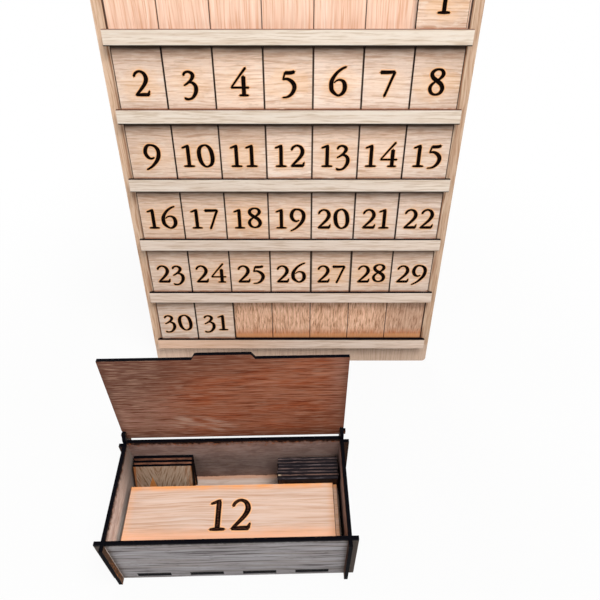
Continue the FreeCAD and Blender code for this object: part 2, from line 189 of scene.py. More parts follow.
class CalendarStage(bpy.types.PropertyGroup):
    camera_place: FloatVectorProperty(
        name="Camera", description="Where the camera stands", subtype="XYZ", unit="LENGTH",
        default=(9.45 * MM, -342.49 * MM, 490.65 * MM))
    camera_tilt: FloatProperty(
        name="Camera tilt", description="Turn from looking straight down",
        default=math.radians(45.174), unit="ROTATION")
    lens: FloatProperty(
        name="Lens", description="Focal length", default=33.33, min=10, max=200, unit="CAMERA")
    key_power: power_choice("Key lamp", "Large soft lamp over the board", 41.0)
    fill_power: power_choice("Fill lamp", "Soft lamp beside the camera", 7.0)
    back_power: power_choice("Back lamp", "Soft lamp behind the board", 14.0)
    sky: FloatProperty(
        name="Room light", description="Strength of the even light from all round",
        default=0.16, min=0, max=3)


# ---- shader maths ----

def maths(operation, swapped=False):
    """Method that adds a Math node to a Tone."""
    def method(tone, other=0.0):
        first, second = (other, tone) if swapped else (tone, other)
        return tone.skin.node("ShaderNodeMath", {"operation": operation}, {0: first, 1: second})
    return method


class Tone:
    """A number or colour that varies over a surface. Python's operators add its Math nodes."""

    def __init__(self, skin, socket):
        self.skin = skin
        self.socket = socket

    __add__ = maths("ADD")
    __radd__ = maths("ADD", swapped=True)
    __sub__ = maths("SUBTRACT")
    __rsub__ = maths("SUBTRACT", swapped=True)
    __mul__ = maths("MULTIPLY")
    __rmul__ = maths("MULTIPLY", swapped=True)
    __truediv__ = maths("DIVIDE")
    __abs__ = maths("ABSOLUTE")
    floor = maths("FLOOR")
    most = maths("MAXIMUM")

    def rise(self, start, end):
        """0 at start and 1 at end, with a smooth climb between."""
        return self.skin.node("ShaderNodeMapRange", {"interpolation_type": "SMOOTHSTEP"},
                              {"Value": self, "From Min": start, "From Max": end})

    def coat(self, share, colour):
        """This colour with a share of another laid over it."""
        return self.skin.blend(share, self, colour)

    def shaded(self, level):
        """This colour made lighter or darker by a number."""
        grey = self.skin.node("ShaderNodeCombineColor", None, {0: level, 1: level, 2: level})
        return self.skin.blend(1.0, self, grey, "MULTIPLY")


class Skin:
    """One material, or the world, as it is written down node by node."""

    def __init__(self, name, plane=None, colours=None, kind="materials"):
        self.colours = colours
        self.made = getattr(bpy.data, kind).new(name)
        self.made.use_nodes = True
        self.tree = self.made.node_tree
        self.tree.nodes.clear()
        if plane:
            self.measure(plane)

    def node(self, kind, settings=None, sockets=None, output=0):
        """Add a node: its settings first, then the values or links of its sockets."""
        made = self.tree.nodes.new(kind)
        for key, value in (settings or {}).items():
            setattr(made, key, value)
        for key, value in (sockets or {}).items():
            if isinstance(value, Tone):
                self.tree.links.new(value.socket, made.inputs[key])
            else:
                made.inputs[key].default_value = value
        return Tone(self, made.outputs[output]) if made.outputs else None

    def place(self):
        """Place in the piece's own frame, in metres."""
        return self.node("ShaderNodeTexCoord", output="Object")

    def dot(self, vector, direction):
        return self.node("ShaderNodeVectorMath", {"operation": "DOT_PRODUCT"},
                         {0: vector, 1: tuple(direction)}, "Value")

    def vector(self, x, y, z):
        return self.node("ShaderNodeCombineXYZ", None, {0: x, 1: y, 2: z})

    def measure(self, plane):
        """Keep the distances across, up and out from a plane's origin, in millimetres."""
        moved = self.node("ShaderNodeVectorMath", {"operation": "SUBTRACT"},
                          {0: self.place(), 1: tuple(plane.origin)})
        self.plane = plane
        across, up, self.out = [self.dot(moved, way / MM)
                                for way in (plane.across, plane.up, plane.out)]
        self.spot = across, up

    def turned(self):
        """1 on a face that points out of the plane, 0 on an edge, -1 on the back."""
        return self.dot(self.node("ShaderNodeTexCoord", output="Normal"), self.plane.out)

    def noise(self, x, y, z, detail=2.0, rough=0.5):
        return self.node("ShaderNodeTexNoise", {"noise_dimensions": "3D"},
                         {"Vector": self.vector(x, y, z), "Scale": 1.0,
                          "Detail": detail, "Roughness": rough})

    def chance(self, x, y):
        """Even random number for each whole x and y."""
        return self.node("ShaderNodeTexWhiteNoise", {"noise_dimensions": "2D"},
                         {"Vector": self.vector(x, y, 0.0)})

    def blend(self, share, low, high, way="MIX"):
        """Colour between low, at share 0, and high, at share 1."""
        low, high = [c if isinstance(c, Tone) else (*c, 1.0) for c in (low, high)]
        return self.node("ShaderNodeMix", {"data_type": "RGBA", "blend_type": way},
                         {0: share, 6: low, 7: high}, 2)

    def done(self, colour, roughness, height, depth, metallic=0.0):
        """End in a Principled shader, with bumps as deep as depth in millimetres."""
        bump = self.node("ShaderNodeBump", None, {"Distance": depth * MM, "Height": height}, "Normal")
        shader = self.node("ShaderNodeBsdfPrincipled", None,
                           {"Base Color": colour, "Roughness": roughness, "Normal": bump,
                            "Metallic": metallic, "Specular IOR Level": SHEEN}, "BSDF")
        self.node("ShaderNodeOutputMaterial", None, {"Surface": shader})
        return self.made


# ---- veneers ----

Look = namedtuple("Look", "band fibre run wander band_depth fibre_depth pore_depth dark light")
OAK = Look(4.5, 1.3, 26, 7, 0.6, 0.7, 0.35, (0.7, 0.54, 0.44), (1.12, 1.17, 1.22))
PEACH = Look(3.0, 1.1, 45, 4, 0.65, 0.8, 0.15, (0.82, 0.68, 0.56), (1.12, 1.2, 1.28))
BLUSHED = Look(5.5, 1.4, 45, 4, 0.5, 0.85, 0.1, (0.86, 0.68, 0.56), (1.1, 1.26, 1.36))
CREAM = Look(3.0, 1.3, 24, 4, 0.55, 0.7, 0.25, (0.76, 0.66, 0.56), (1.1, 1.12, 1.14))
WEATHERED = Look(6.0, 2.2, 55, 5, 0.65, 1.0, 0.45, (0.28, 0.25, 0.25), (1.4, 1.42, 1.46))
RED_LINING = Look(3.0, 1.0, 24, 2.5, 0.75, 0.95, 0.5, (0.4, 0.2, 0.12), (1.5, 1.75, 1.95))
COARSE = Look(2.4, 1.3, 9, 8, 0.7, 0.85, 0.5, (0.5, 0.36, 0.26), (1.3, 1.42, 1.5))
SMOKED = COARSE._replace(band_depth=0.5, fibre_depth=0.4, pore_depth=0.25)
DRAWS = (0, 19, 33, 23)  # random draws for a tile's grain, and how light, grey and toasted it is
HEAVY_TILE = (4, 1)      # column and row, from 0 at the lower left, of the tile with the widest dark rims
BAND_RUN = 90            # length of the broad marks along the grain
PORE_RUN = 6
ROUGH = 0.62             # of bare veneer
SHEEN = 0.03             # so faint that char stays black under a bright room
GRAIN_DEPTH = 0.06       # of bumps, and so are the next two
BURN_DEPTH = 0.08
METAL_DEPTH = 0.01


def tinted(colour, red, green, blue):
    return tuple(min(1.0, part * by) for part, by in zip(colour, (red, green, blue)))


def veneer(skin, seed, colour, look, run=None):
    """Grain of a sawn face: broad bands, streaks and short pores. Gives colour and height.

    run holds the distances along the grain and across it; if not given, the grain is level."""
    along, across = run or skin.spot
    drift = skin.noise(along / (BAND_RUN * 0.6), across / (look.band * 6), seed, 1.0) - 0.5
    lane = across + drift * look.wander
    bands = skin.noise(along / BAND_RUN, lane / look.band, seed + 3.1, 3.0)
    fibre = skin.noise(along / look.run, lane / look.fibre, seed + 7.7, 2.0, 0.6)
    pores = skin.noise(along / PORE_RUN, lane / (look.fibre * 0.7), seed + 1.3, 1.0)
    pale = tinted(colour, 1.1, 1.09, 1.08)
    warm = tinted(colour, 0.84, 0.74, 0.66)
    dark = tinted(colour, *look.dark)
    mixed = skin.blend(bands.rise(0.38, 0.68) * look.band_depth, pale, warm)
    shine = fibre.rise(0.47, 0.3)
    mixed = mixed.coat(shine * look.fibre_depth, tinted(colour, *look.light))
    streak = fibre.rise(0.5, 0.68)
    mixed = mixed.coat(streak * look.fibre_depth, dark)
    pits = pores.rise(0.62, 0.76)
    mixed = mixed.coat(pits * look.pore_depth, dark)
    height = 1.0 - streak * 0.5 - pits * 0.5
    return mixed, height


def charred(skin):
    """Colour of the char on a sheet's cut edges."""
    run = skin.spot[0] + skin.spot[1]
    soot = skin.noise(run / 4, run / 0.7, 2.0, 3.0)
    return skin.blend(soot.rise(0.55, 0.85), skin.colours.char, srgb(26, 18, 17))


def finished(skin, face, height, char=None):
    """Close a sheet's skin: veneer on the faces, char on the cut edges."""
    char = char or charred(skin)
    edge = 1.0 - abs(skin.turned()).rise(0.5, 0.8)
    roughness = ROUGH + height * -0.08 + edge * 0.15
    return skin.done(face.coat(edge, char), roughness, height, GRAIN_DEPTH)


def board_margin(skin, past_grid, bottom):
    """Board round the grid: its bare veneer, and the same streaked brown and pale beside the tiles,
    lighter at its foot as painted light and darker to its right as painted shade.
    """
    across, up = skin.spot
    bare, _ = veneer(skin, 4.0, skin.colours.board_margin, OAK, (up, across))
    smears = skin.noise(up / 45, across / 1.9, 6.0)
    beside = past_grid.rise(6, 1) * (1.0 - bottom)
    streaked_with_painted_light = bare.coat(beside * smears.rise(0.42, 0.62) * 0.85, srgb(150, 98, 66))
    streaked_with_painted_light = streaked_with_painted_light.coat(beside * smears.rise(0.42, 0.3) * 0.6, srgb(246, 222, 192))
    # painted light: the margin lighter and cooler at its foot
    streaked_with_painted_light = streaked_with_painted_light.coat(bottom * 0.35, srgb(220, 200, 188))
    # painted shade: darker towards the right
    return bare, streaked_with_painted_light.shaded(1.0 - across.rise(0, 140) * 0.13)


def last_row(skin, face, grid):
    """Coarser, smokier grain behind the lowest tiles, with a glow over the lip and a painted
    highlight along the lip's top.
    """
    across, up = skin.spot
    row = up.rise(LOWEST_LIP_TOP + RAIL_PITCH + 4, LOWEST_LIP_TOP + RAIL_PITCH) * grid
    smoky, _ = veneer(skin, 8.0, srgb(222, 180, 152), COARSE, (up, across))
    face = face.coat(row, smoky)
    greyed = row * across.rise(75, 125)
    face = face.shaded(1.0 - greyed * 0.18).coat(greyed * 0.22, srgb(150, 124, 110))
    licks = skin.noise(across / 3, up / 12, 1.0, 3.0)
    glow = (up + licks * 6).rise(LOWEST_LIP_TOP + 16, LOWEST_LIP_TOP + 2) * row
    fine = skin.noise(across / 1.4, up / 9, 14.0).rise(0.35, 0.6)
    face = face.coat(glow * (0.5 + fine * 0.4), srgb(206, 118, 66))
    # painted highlight: a lighter orange band just above the lip
    foot = up.rise(LOWEST_LIP_TOP + 5, LOWEST_LIP_TOP + 2) * row
    return face.coat(foot * 0.55, srgb(236, 176, 124))


def scored_lines(skin, past_grid):
    """Upright burnt lines between the columns, the outermost ones wider."""
    column = skin.spot[0] / COLUMN_PITCH + COLUMNS / 2
    off_line = abs(column - (column + 0.5).floor()) * COLUMN_PITCH
    outer = past_grid.rise(-2, -1) * 0.35
    return (off_line - outer).rise(0.6, 0.3) * past_grid.rise(1.4, 1.0)


def board_wood(colours):
    """Upright grain; the front is blushed between its scored lines and smoky low down."""
    skin = Skin("board_wood", board_plane(), colours)
    across, up = skin.spot
    front = skin.turned().rise(0.3, 0.7)
    cells, height = veneer(skin, 0.0, colours.board, BLUSHED, (up, across))
    past_grid = abs(across) - COLUMNS / 2 * COLUMN_PITCH
    bottom = up.rise(LOWEST_LIP_TOP - LIP_H + 1, LOWEST_LIP_TOP - LIP_H - 1)
    outside = past_grid.rise(-0.2, 0.6).most(bottom)
    bare, margin = board_margin(skin, past_grid, bottom)
    face = last_row(skin, cells.coat(outside, margin), 1.0 - outside)
    scored = scored_lines(skin, past_grid) * front * (1.0 - bottom)
    face = face.coat(scored * 0.92, srgb(50, 30, 26))
    over_foot = up - LOWEST_LIP_TOP + TILE_HIDDEN
    over_foot = over_foot - (over_foot / RAIL_PITCH).floor() * RAIL_PITCH
    seared = over_foot.rise(1.5, 0.8) * past_grid.rise(3, 0)
    face = bare.coat(front, face.coat(seared * 0.8, srgb(96, 58, 42)))
    return finished(skin, face, height - scored)


def strut_wood(colours):
    """Plain upright grain for the strut and its cleat."""
    skin = Skin("strut_wood", strut_plane(), colours)
    across, up = skin.spot
    face, height = veneer(skin, 50.0, colours.board_margin, OAK, (up, across))
    return finished(skin, face, height)


def rail_wood(colours):
    """Pale straight grain along the lips, warmer on the low ones, browned along its edges, with a
    near-black line along each lip's foot, char and painted shadow, darkest on the upper rails.
    """
    skin = Skin("rail_wood", board_plane(), colours)
    across, up = skin.spot
    rail = ((up + RAIL_PITCH - LOWEST_LIP_TOP - 1) / RAIL_PITCH).floor()
    low = up.rise(300, 20)
    pale, height = veneer(skin, rail * 1.7, colours.rail, CREAM)
    warm, _ = veneer(skin, rail * 1.7, srgb(217, 199, 186), CREAM)
    face = pale.coat(low, warm)
    lowest = up.rise(LOWEST_LIP_TOP + RAIL_PITCH / 2, LOWEST_LIP_TOP)
    toasted = lowest * across.rise(40, -90)
    face = face.coat(toasted * 0.45, srgb(222, 168, 128))
    off_middle = abs(up - LOWEST_LIP_TOP - rail * RAIL_PITCH + LIP_H / 2)
    rim = off_middle.rise(LIP_H / 2 - RIM, LIP_H / 2 - RIM * 0.2)
    face = face.coat(rim * 0.75, srgb(100, 66, 48))
    # char and painted shadow: a near-black line along the lip's foot, strongest on the upper rails
    off_foot = up - LOWEST_LIP_TOP + LIP_H - rail * RAIL_PITCH
    char_and_painted_shadow = off_foot.rise(1.2, 0.6) * up.rise(60, 280)
    face = face.coat(char_and_painted_shadow * 0.95, srgb(14, 8, 6))
    char = charred(skin).coat(up.rise(230, 320), srgb(112, 72, 56))
    return finished(skin, face, height, char)


def tile_veneer(skin, own, tone, ashy):
    """A tile's own grain, warmer or greyer, with painted shade that darkens it at the board's sides
    and low down.
    """
    across, up = skin.spot
    wood = skin.colours.tile
    warm, height = veneer(skin, own * 40.0, tinted(wood, 0.95, 0.9, 0.82), OAK)
    grey, _ = veneer(skin, own * 40.0, tinted(wood, 0.93, 0.99, 1.02), OAK)
    sides = across / (3 * COLUMN_PITCH)
    # painted shade: darker towards the board's sides and its lower rows
    level = (1.01 + tone * 0.1) * (1.0 - sides * sides * 0.115) * (1.0 - up.rise(290, 40) * 0.07)
    face = warm.coat(ashy, grey).shaded(level)
    clouds = skin.noise(across / 9, up / 2.6, own * 9.0, 3.0, 0.6)
    face = face.coat(clouds.rise(0.52, 0.7) * 0.3, srgb(190, 158, 132))
    return face.coat(clouds.rise(0.46, 0.32) * 0.4, srgb(242, 228, 214)), height


def smoked_under_lip(skin, face, under_lip, own):
    """Painted shade below the lip of the rail above: a soft shadow, a wider faint shade and a dark
    shadow line right below the lip.
    """
    across, up = skin.spot
    shade_wobble = skin.noise(across / 22, up / 5, 3.0)
    # painted shade: a soft shadow below the lip above
    shade_below_lip = (under_lip - shade_wobble * 8).rise(11, -4)
    face = face.coat(shade_below_lip * 0.6, srgb(148, 122, 102))
    waves = skin.noise(across / 16, up / 1.7, own * 7.0, 3.0)
    # painted shade: a wider, fainter shade, deeper on the upper rows
    wide_shade_below_lip = (under_lip + (waves - 0.5) * 12).rise(27, 8)
    depth = 0.1 + up.rise(150, 330) * 0.09 + waves.rise(0.44, 0.64) * 0.3
    face = face.coat(wide_shade_below_lip * depth, srgb(146, 110, 86))
    # painted shadow: a dark line right below the lip
    soot = (under_lip - shade_wobble * 2).rise(3, 0.6)
    return face.coat(soot * 0.85, srgb(42, 25, 17))


def tile_face(skin, shift):
    """Level grain that changes from tile to tile, toasted, with painted shade below the lip above,
    and burnt at its rims, which also carry painted shadow of the gaps between tiles.
    """
    across, up = skin.spot
    column = ((across - shift) / COLUMN_PITCH + COLUMNS / 2).floor()
    row = ((up - LOWEST_LIP_TOP + TILE_HIDDEN) / RAIL_PITCH).floor()
    own, tone, ashy, toasted = [skin.chance(column + draw, row) for draw in DRAWS]
    face, height = tile_veneer(skin, own, tone, ashy)
    off_middle = abs(across - shift - (column + 0.5 - COLUMNS / 2) * COLUMN_PITCH)
    over_lip = up - LOWEST_LIP_TOP - row * RAIL_PITCH
    wide = off_middle / 17
    high = (over_lip - 20) / 13
    uneven = skin.noise(across / 11, up / 7, own * 5.0) - 0.5
    toast = (wide * wide + high * high + uneven * 3.0).rise(1.6, 0.2) * toasted
    face = face.coat(toast * 0.28, srgb(240, 186, 128))
    face = smoked_under_lip(skin, face, RAIL_PITCH - LIP_H - over_lip, own)
    breaks = skin.noise(across / 14, row, 2.0, 3.0)
    scorch = over_lip.rise(1.0, 0.6) * breaks.rise(0.3, 0.5)
    face = face.coat(scorch * 0.7, srgb(172, 114, 84))
    # dark rims at the tile's sides: char, widened as painted shadow of the gaps between tiles
    off_heavy = abs(column - HEAVY_TILE[0]) + abs(row - HEAVY_TILE[1])
    rim_w = RIM * (0.9 + ashy * 0.6 + off_heavy.rise(0.6, 0.4) * 2.0)
    rim = off_middle.rise(TILE_W / 2 - rim_w, TILE_W / 2 - rim_w * 0.4)
    return face.coat(rim * 0.92, srgb(34, 22, 19)), height


def tile_wood(colours, name, shift):
    skin = Skin(name, board_plane(), colours)
    return finished(skin, *tile_face(skin, shift))


def burnt_figure(skin, face, height, depth):
    """Figure burnt into a face: scorch round it, black outline, browner bed."""
    burn = skin.node("ShaderNodeAttribute", {"attribute_name": "burn"}, None, "Fac")
    place = skin.place()
    grain = skin.noise(skin.dot(place, (1 / MM, 0, 0)) / 3, skin.dot(place, (0, 1 / MM, 0)) / 0.5,
                       skin.dot(place, (0, 0, 1 / MM)) / 0.5)
    face = face.coat(burn.rise(0.0, 0.7) * 0.75, srgb(240, 176, 118))
    face = face.coat(burn.rise(0.66, 0.96), srgb(2, 1, 1))
    bed = burn.rise(1.25, 1.8) * grain.rise(0.35, 0.7) * depth
    face = face.coat(bed, srgb(84, 52, 38))
    inked = burn.rise(0.6, 1.0)
    return skin.done(face, ROUGH + inked * 0.25, height - inked * 0.5 + grain * 0.3, BURN_DEPTH)


def tile_figure_wood(colours, name, shift):
    skin = Skin(name, board_plane(), colours)
    return burnt_figure(skin, *tile_face(skin, shift), 0.15)


def plate_face(skin, seed):
    """Straight level grain with an orange burn along the far edge and a blush along the near one."""
    across, up = skin.spot
    wood = tinted(skin.colours.plate, 0.93, 0.94, 0.93)
    face, height = veneer(skin, seed, wood, PEACH)
    half = TILE_H / 2
    ragged = skin.noise(across / 9, up / 3, seed) * 2.5
    glow = (up + ragged).rise(half - 5, half + 1)
    patchy = skin.noise(across / 22, seed, 4.0).rise(0.3, 0.6)
    face = face.coat(glow * (0.4 + patchy * 0.5), srgb(228, 152, 88))
    front = (up - ragged * 2.0).rise(-half + 17, -half + 3)
    face = face.coat(front * 0.7, srgb(246, 182, 142))
    ends = (abs(across) + ragged).rise(PLATE_W / 2 - 7, PLATE_W / 2 + 1)
    face = face.coat(ends * 0.3, srgb(234, 170, 118))
    rim = abs(across).rise(PLATE_W / 2 - RIM * 1.6, PLATE_W / 2 - RIM)
    return face.coat(rim * 0.85, srgb(70, 42, 32)), height


def plate_wood(colours, name, plane, seed):
    skin = Skin(name, plane, colours)
    return finished(skin, *plate_face(skin, seed))


def plate_figure_wood(colours, name, plane, seed):
    skin = Skin(name, plane, colours)
    return burnt_figure(skin, *plate_face(skin, seed), 0.9)


def panel_inside(skin, inner, half, deep, below, stains, seed):
    """Stained veneer, made lighter high up as painted light, smoky at its left end, with embers below
    the rim.
    """
    across, up = skin.spot
    inside, _ = veneer(skin, seed + 11.0, inner, SMOKED)
    inside = inside.coat(stains.rise(0.44, 0.62) * 0.6, tinted(inner, 0.6, 0.52, 0.5))
    # painted light: the inside lighter towards its top
    inside = inside.shaded(1.0 + up.rise(BOX_H * 0.4, BOX_H * 0.8) * 0.35)
    inside = inside.coat(below.rise(8, 2) * 0.7, srgb(112, 70, 48))
    smoky = (across + (stains - 0.5) * 30).rise(half * 0.5, -half) * deep
    inside = inside.coat(smoky, srgb(104, 86, 76))
    embers = skin.noise(across / 3.5, up / 2, seed + 8.0).rise(0.56, 0.66)
    inside = inside.coat(embers * below.rise(9, 4) * 0.75, srgb(176, 96, 44))
    return inside.coat(below.rise(4, 1.5) * 0.92, srgb(10, 7, 8))


def amber_brown(skin, inner, seed):
    """Dark brown with amber spots, for the ears' inner face."""
    across, up = skin.spot
    spots = skin.noise(across / 2.2, up / 3, seed + 5.0, 3.0)
    amber = spots.rise(0.5, 0.62) * up.rise(BOX_H, BOX_H * 0.3) * 0.8
    # the ears' inner face follows the inside's colour, and so its painted light and shade
    return skin.blend(amber, tinted(inner, 0.15, 0.09, 0.06), tinted(inner, 0.7, 0.3, 0.11))


def floor_slots(skin, beyond):
    """1 where the floor's tabs come through a panel."""
    across, up = skin.spot
    off_tab = abs(across - ((across / TAB_PITCH).floor() + 0.5) * TAB_PITCH)
    slot = off_tab.rise(TAB_L / 2 + 1, TAB_L / 2 + 0.4) * abs(up - TAB_UP).rise(3.6, 2.8)
    return slot * beyond.rise(-10, -12)


def panel_outside(skin, beyond, below, ragged, stains, seed):
    """Weathered veneer: darker low down, brown at its ends, charred at its rim and slots."""
    outside, height = veneer(skin, seed, skin.colours.box_outside, WEATHERED)
    outside = outside.coat(below.rise(8, 1) * 0.45, srgb(84, 70, 54))
    up = skin.spot[1]
    # darker towards the bottom
    darker_low = (up + (stains - 0.5) * 20).rise(24, 6)
    outside = outside.coat(0.08 + darker_low * 0.25, srgb(92, 84, 80))
    corner = (beyond + ragged * 3).rise(-6, 1)
    outside = outside.coat(corner * 0.75, srgb(78, 60, 46))
    outside = outside.coat(beyond.rise(0.2, 0.8), srgb(84, 74, 68))
    rim = (BOX_H - up + (ragged - 0.5) * 2).rise(2.4, 1.8)
    burnt = floor_slots(skin, beyond).most(rim)
    return outside.coat(burnt * 0.97, skin.colours.char), height


def panel_wood(colours, name, plane, half, inner, deep, seed):
    """Box panel: one veneer outside, one inside, scorched below its upper edge.

    half is how far the panels that cross this one stand from its middle, and deep is
    the share of smoke at the left end of its inside."""
    skin = Skin(name, plane, colours)
    across, up = skin.spot
    ragged = skin.noise(across / 5, up / 7, seed, 4.0, 0.7)
    stains = skin.noise(across / 26, up / 16, seed + 2.0, 4.0, 0.65)
    below = BOX_H - up + (ragged - 0.5) * 12
    beyond = abs(across) - half
    # inner, the inside's colour, is made lighter or darker wall by wall as painted light and shade
    inside = panel_inside(skin, inner, half, deep, below, stains, seed)
    inside = inside.coat(beyond.rise(0.2, 0.8), amber_brown(skin, inner, seed))
    outside, height = panel_outside(skin, beyond, below, ragged, stains, seed)
    face = inside.coat(skin.turned().rise(-0.3, 0.3), outside)
    return finished(skin, face, height)


def floor_wood(colours):
    skin = Skin("box_floor_wood", lying("box_floor"), colours)
    across, up = skin.spot
    face, height = veneer(skin, 21.0, colours.box_floor, CREAM)
    ragged = skin.noise(across / 15, up / 15, 2.0, 4.0, 0.7)
    to_wall = BOX_D / 2 - SHEET_T - up - ragged * 4
    face = face.coat(to_wall.rise(3, 0) * 0.5, srgb(176, 110, 62))
    face = face.coat(to_wall.rise(-1, -2.2) * 0.9, srgb(34, 22, 18))
    return finished(skin, face, height)


def worn_patch(skin, hairs):
    """Patch of the lining that is rubbed pale, low and left of the middle."""
    across, up = skin.spot
    rub = skin.noise((across + up) / 20, (up + across * 0.2) / 7, 9.0, 1.0)
    far = (across + 28) / 34
    tall = (up - 17 + (across + 28) * 0.15) / 12
    patch = (far * far + tall * tall).rise(1.2, 0.2)
    return patch * rub.rise(0.36, 0.62) * hairs.rise(0.36, 0.56)


def lid_lining(skin):
    """Reddish lining with rusty and dull clouds, and painted shade at its top, right, foot and ends.
    """
    across, up = skin.spot
    lining, height = veneer(skin, 30.0, skin.colours.lid, RED_LINING)
    dull, _ = veneer(skin, 30.0, srgb(142, 104, 90), RED_LINING)
    rusty, _ = veneer(skin, 30.0, srgb(150, 80, 51), RED_LINING)
    clouds = skin.noise(across / 50, up / 16, 3.0, 3.0)
    lining = lining.coat(clouds.rise(0.45, 0.65) * 0.8, rusty)
    sides = across.rise(10, -BOX_W / 2).most(across.rise(62, 90) * 0.6)
    lining = lining.coat((sides + clouds * 0.6).rise(0.55, 1.2) * 0.85, dull)
    # painted shade: darker towards the top, the right and the foot
    lining = lining.coat((across * -0.4 + up).rise(60, 108) * 0.68, srgb(96, 60, 48))
    lining = lining.coat((across - up * 1.5).rise(-10, 80) * 0.5, srgb(108, 52, 29))
    lining = lining.coat(up.rise(12, 1) * 0.45, srgb(84, 46, 30))
    hairs = skin.noise(across / 16, up / 0.9, 12.0)
    lining = lining.coat(worn_patch(skin, hairs) * 0.88, srgb(190, 158, 140))
    greyer = 0.35 + across.rise(0, -BOX_W / 2) * 0.4
    lining = lining.coat(hairs.rise(0.5, 0.62) * greyer, srgb(172, 136, 116))
    # painted shade: darker at the ends
    ends = (abs(across) + clouds * 6).rise(BOX_W / 2 - 5, BOX_W / 2 + 6)
    return lining.coat(ends * 0.6, srgb(84, 52, 42)), height


def lid_wood(colours):
    """Reddish lining inside, grey veneer outside."""
    skin = Skin("lid_wood", lid_plane(), colours)
    lining, height = lid_lining(skin)
    outside, _ = veneer(skin, 33.0, colours.box_outside, WEATHERED)
    face = outside.coat(skin.turned().rise(-0.3, 0.3), lining)
    return finished(skin, face, height)


def ashy_char(skin, char, seed):
    """Upper edges of a stack: ash on each sheet's crest, a pale chip here and there, black seams."""
    across = skin.spot[0]
    sheet = skin.out / SHEET_T + 0.5
    own = skin.chance(sheet.floor(), seed)
    off_seam = abs(sheet - (sheet + 0.5).floor())
    ash = skin.noise(across / 13, skin.out / 0.9, seed, 4.0, 0.6)
    crest = off_seam.rise(0.2, 0.42) * (ash + own * 0.12).rise(0.48, 0.64)
    ashes = skin.blend(own, srgb(100, 93, 97), srgb(118, 86, 70))
    char = char.coat(0.6, srgb(44, 39, 43)).coat(crest * 0.75, ashes)
    chip = across.rise(-TILE_H / 2 + 4, -TILE_H / 2 + 1) * own.rise(0.5, 0.6)
    char = char.coat(chip * off_seam.rise(0.2, 0.4), srgb(168, 148, 126))
    return char.coat(off_seam.rise(0.16, 0.04), srgb(3, 3, 5))


def spare_wood(colours, name, plane, front, ashy, seed):
    """Slanted grain, brown at the sides and where only a strip shows behind, with near-black rims at
    its sides, char and painted shadow.
    """
    skin = Skin(name, plane, colours)
    across, up = skin.spot
    lane = abs(across + 4) - up * 0.3
    face, height = veneer(skin, seed, front, COARSE, (up, lane))
    warmth = 0.1 if ashy else 1.0
    sides = abs(across).rise(TILE_H / 2 - 8, TILE_H / 2 - 1)
    streaks = skin.noise(across / 1.6, up / 20, seed)
    face = face.coat(sides * streaks.rise(0.35, 0.6) * warmth, srgb(142, 86, 46))
    flame = abs(across + 9.7) * 2.7 + up + (streaks - 0.5) * 3
    face = face.coat(flame.rise(8, 6) * 0.85 * warmth, srgb(176, 108, 50))
    behind = skin.out.rise(-SPARE_STRIPS, -SPARE_STRIPS - 1.5)
    sooty = skin.noise(across / 9, up / 1.5, seed + 2.0, 3.0)
    strip = skin.blend(sooty.rise(0.4, 0.6), srgb(96, 62, 50), srgb(140, 92, 72))
    face = face.coat(behind * 0.92, strip)
    # near-black rims at the sides: char, and painted shadow of the gaps beside them
    rim = abs(across).rise(TILE_H / 2 - 1.2, TILE_H / 2 - 0.6)
    face = face.coat(rim * 0.9, srgb(14, 9, 8))
    char = charred(skin)
    if ashy:
        char = ashy_char(skin, char, seed)
    return finished(skin, face, height, char)


def metal(name, colour, roughness):
    """Rolled sheet or turned pin: fine lines and a few duller clouds."""
    skin = Skin(name, strut_plane())
    across, up = skin.spot
    lines = skin.noise(across / 5, up / 0.15, skin.out / 0.4)
    clouds = skin.noise(across / 6, up / 6, skin.out / 6, 3.0)
    tone = skin.blend(clouds.rise(0.4, 0.7) * 0.5, colour, tinted(colour, 0.62, 0.56, 0.5))
    return skin.done(tone, roughness + clouds * 0.2 + lines * 0.06, lines, METAL_DEPTH, 1.0)


# ---- figures: width and strokes, of knots (across, up, width), in thousandths of a 1's height ----

